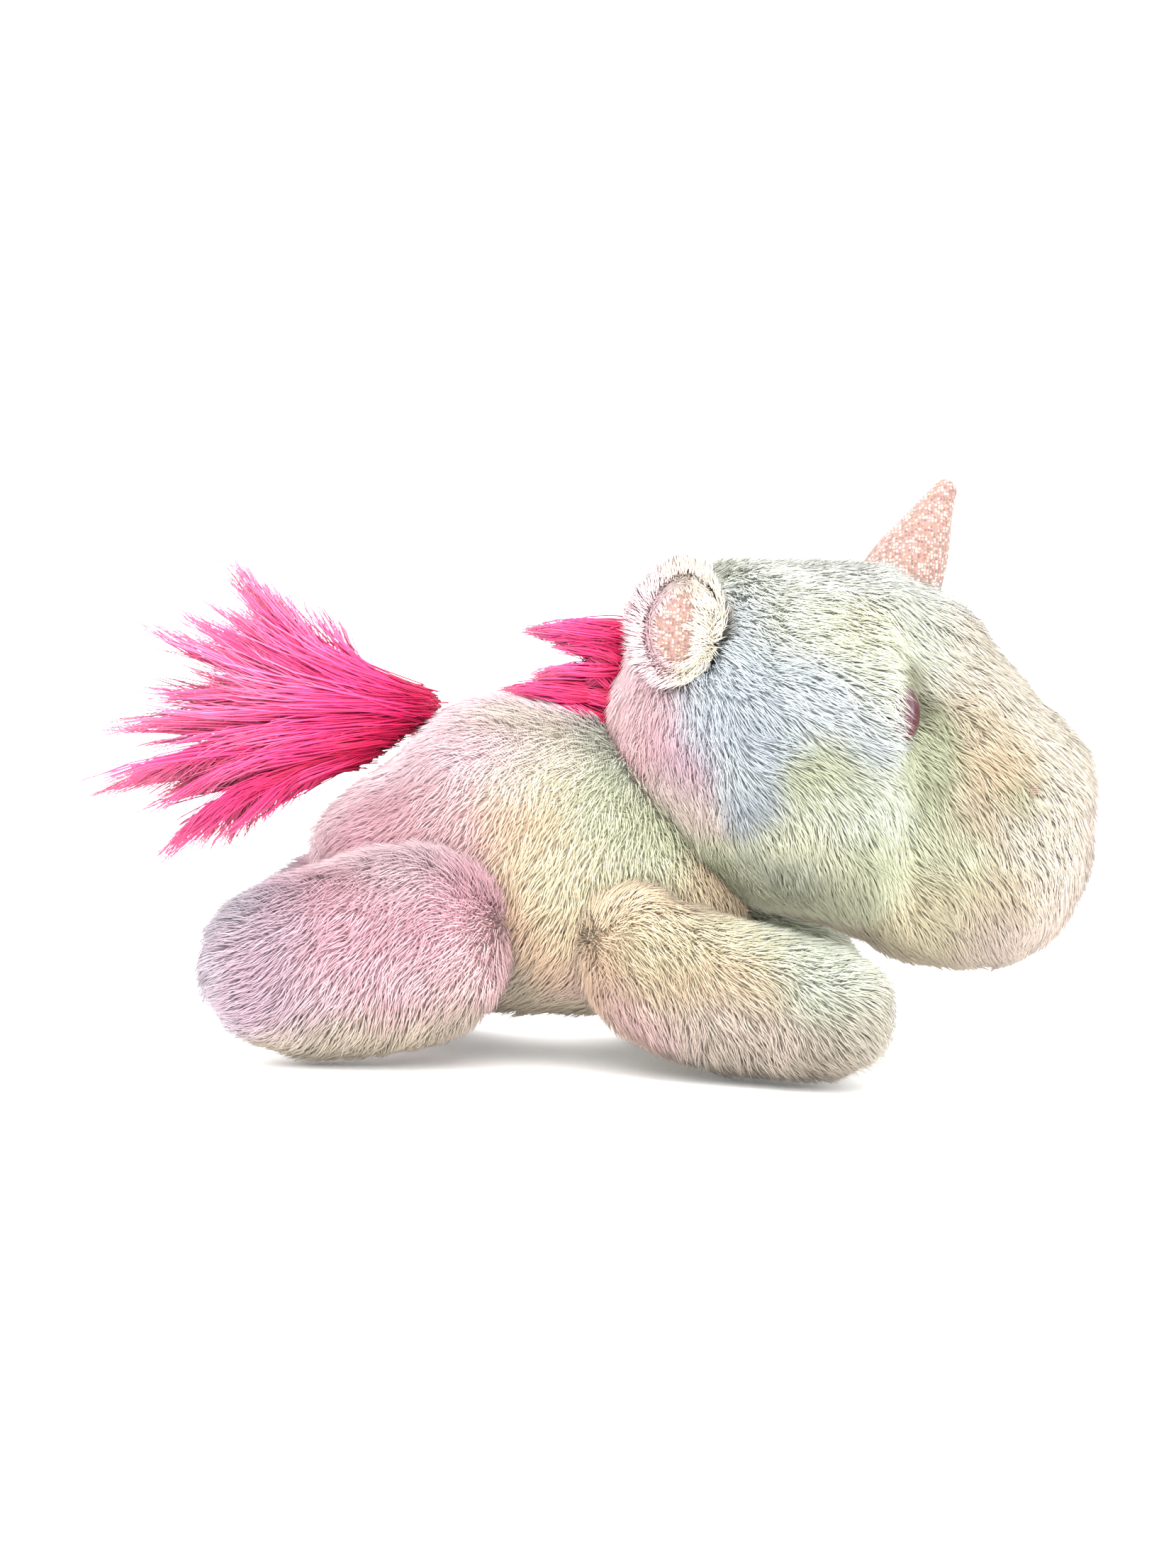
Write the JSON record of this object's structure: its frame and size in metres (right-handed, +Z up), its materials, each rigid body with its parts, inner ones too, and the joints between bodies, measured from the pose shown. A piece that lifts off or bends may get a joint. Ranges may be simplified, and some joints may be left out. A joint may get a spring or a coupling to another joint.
{
  "type": "plush unicorn",
  "caption": "Lying plush unicorn with a large turning head, splaying legs, folding ears, a wagging long-pile tail, a mane and a foil knit horn.",
  "frame": {"origin": "on the ground under the middle of the toy", "axes": "+X from the tail to the muzzle, +Y to the toy's left, +Z up"},
  "size_m": [0.305, 0.1546, 0.1801],
  "materials": {
    "plush_pink": "soft short pile, pastel tie-dye shading to pink",
    "plush_cream": "soft short pile, pastel tie-dye shading to cream",
    "plush_mint": "soft short pile, pastel tie-dye shading to mint",
    "plush_blue": "soft short pile, pastel tie-dye shading to pale blue",
    "long_pile": "long silky pile in locks, hot pink",
    "foil_knit": "fine rose knit with shiny foil dots",
    "backing_cloth": "plain knitted backing",
    "fibre_filling": "loose white polyester fibre",
    "pellet_filling": "cotton pouch of plastic pellets",
    "thread": "brown sewing thread",
    "eye_plastic": "glossy dark plum",
    "washer_plastic": "moulded white plastic"
  },
  "bodies": {
    "torso": {"torso_side_left": "plush_pink", "torso_side_right": "plush_pink", "belly_panel": "plush_cream", "torso_stuffing": "fibre_filling", "pellet_pouch": "pellet_filling"},
    "neck": {"neck_plug": "fibre_filling"},
    "head": {"back_of_head_panel": "plush_pink", "head_side_left": "plush_blue", "head_side_right": "plush_blue", "crown_gusset": "plush_mint", "muzzle_panel": "plush_cream", "head_stuffing": "fibre_filling", "eye_right": "eye_plastic", "eye_left": "eye_plastic", "eye_washer_right": "washer_plastic", "eye_washer_left": "washer_plastic", "nostril_stitch_right": "thread", "nostril_stitch_left": "thread", "horn_cover": "foil_knit", "horn_stuffing": "fibre_filling", "mane_strip": "backing_cloth", "mane_pile": "long_pile"},
    "tail": {"tail_core": "backing_cloth", "tail_pile": "long_pile"},
    "ear_right": {"ear_back_right": "plush_pink", "ear_lining_right": "foil_knit"},
    "ear_left": {"ear_back_left": "plush_pink", "ear_lining_left": "foil_knit"},
    "front_leg_right": {"front_leg_right_upper": "plush_cream", "front_leg_right_sole": "plush_cream", "front_leg_right_filling": "pellet_filling"},
    "front_leg_left": {"front_leg_left_upper": "plush_cream", "front_leg_left_sole": "plush_cream", "front_leg_left_filling": "pellet_filling"},
    "hind_leg_right": {"hind_leg_right_upper": "plush_pink", "hind_leg_right_sole": "plush_cream", "hind_leg_right_filling": "pellet_filling"},
    "hind_leg_left": {"hind_leg_left_upper": "plush_pink", "hind_leg_left_sole": "plush_cream", "hind_leg_left_filling": "pellet_filling"}
  },
  "joints": [
    {"name": "head_turn", "type": "hinge", "parent": "torso", "child": "neck", "pos_m": [0.05033, 0, 0.09813], "axis": [0, 0, 1], "range_deg": [-15, 15]},
    {"name": "head_nod", "type": "hinge", "parent": "neck", "child": "head", "pos_m": [0.05033, 0, 0.09813], "axis": [0, 1, 0], "range_deg": [-8, 3]},
    {"name": "tail_wag", "type": "hinge", "parent": "torso", "child": "tail", "pos_m": [-0.05419, 0, 0.103], "axis": [0, 0, 1], "range_deg": [-25, 25]},
    {"name": "ear_flap_right", "type": "hinge", "parent": "head", "child": "ear_right", "pos_m": [0.0205, -0.05063, 0.115], "axis": [1, 0, 0], "range_deg": [-2, 30]},
    {"name": "front_leg_splay_right", "type": "hinge", "parent": "torso", "child": "front_leg_right", "pos_m": [0.016, -0.041, 0.0342], "axis": [0, 0, -1], "range_deg": [0, 18]},
    {"name": "hind_leg_splay_right", "type": "hinge", "parent": "torso", "child": "hind_leg_right", "pos_m": [-0.04526, -0.043, 0.033], "axis": [0, 0, 1], "range_deg": [0, 18]},
    {"name": "ear_flap_left", "type": "hinge", "parent": "head", "child": "ear_left", "pos_m": [0.0205, 0.05063, 0.115], "axis": [-1, 0, 0], "range_deg": [-2, 30]},
    {"name": "front_leg_splay_left", "type": "hinge", "parent": "torso", "child": "front_leg_left", "pos_m": [0.016, 0.041, 0.0342], "axis": [0, 0, 1], "range_deg": [0, 18]},
    {"name": "hind_leg_splay_left", "type": "hinge", "parent": "torso", "child": "hind_leg_left", "pos_m": [-0.04526, 0.043, 0.033], "axis": [0, 0, -1], "range_deg": [0, 18]}
  ]
}
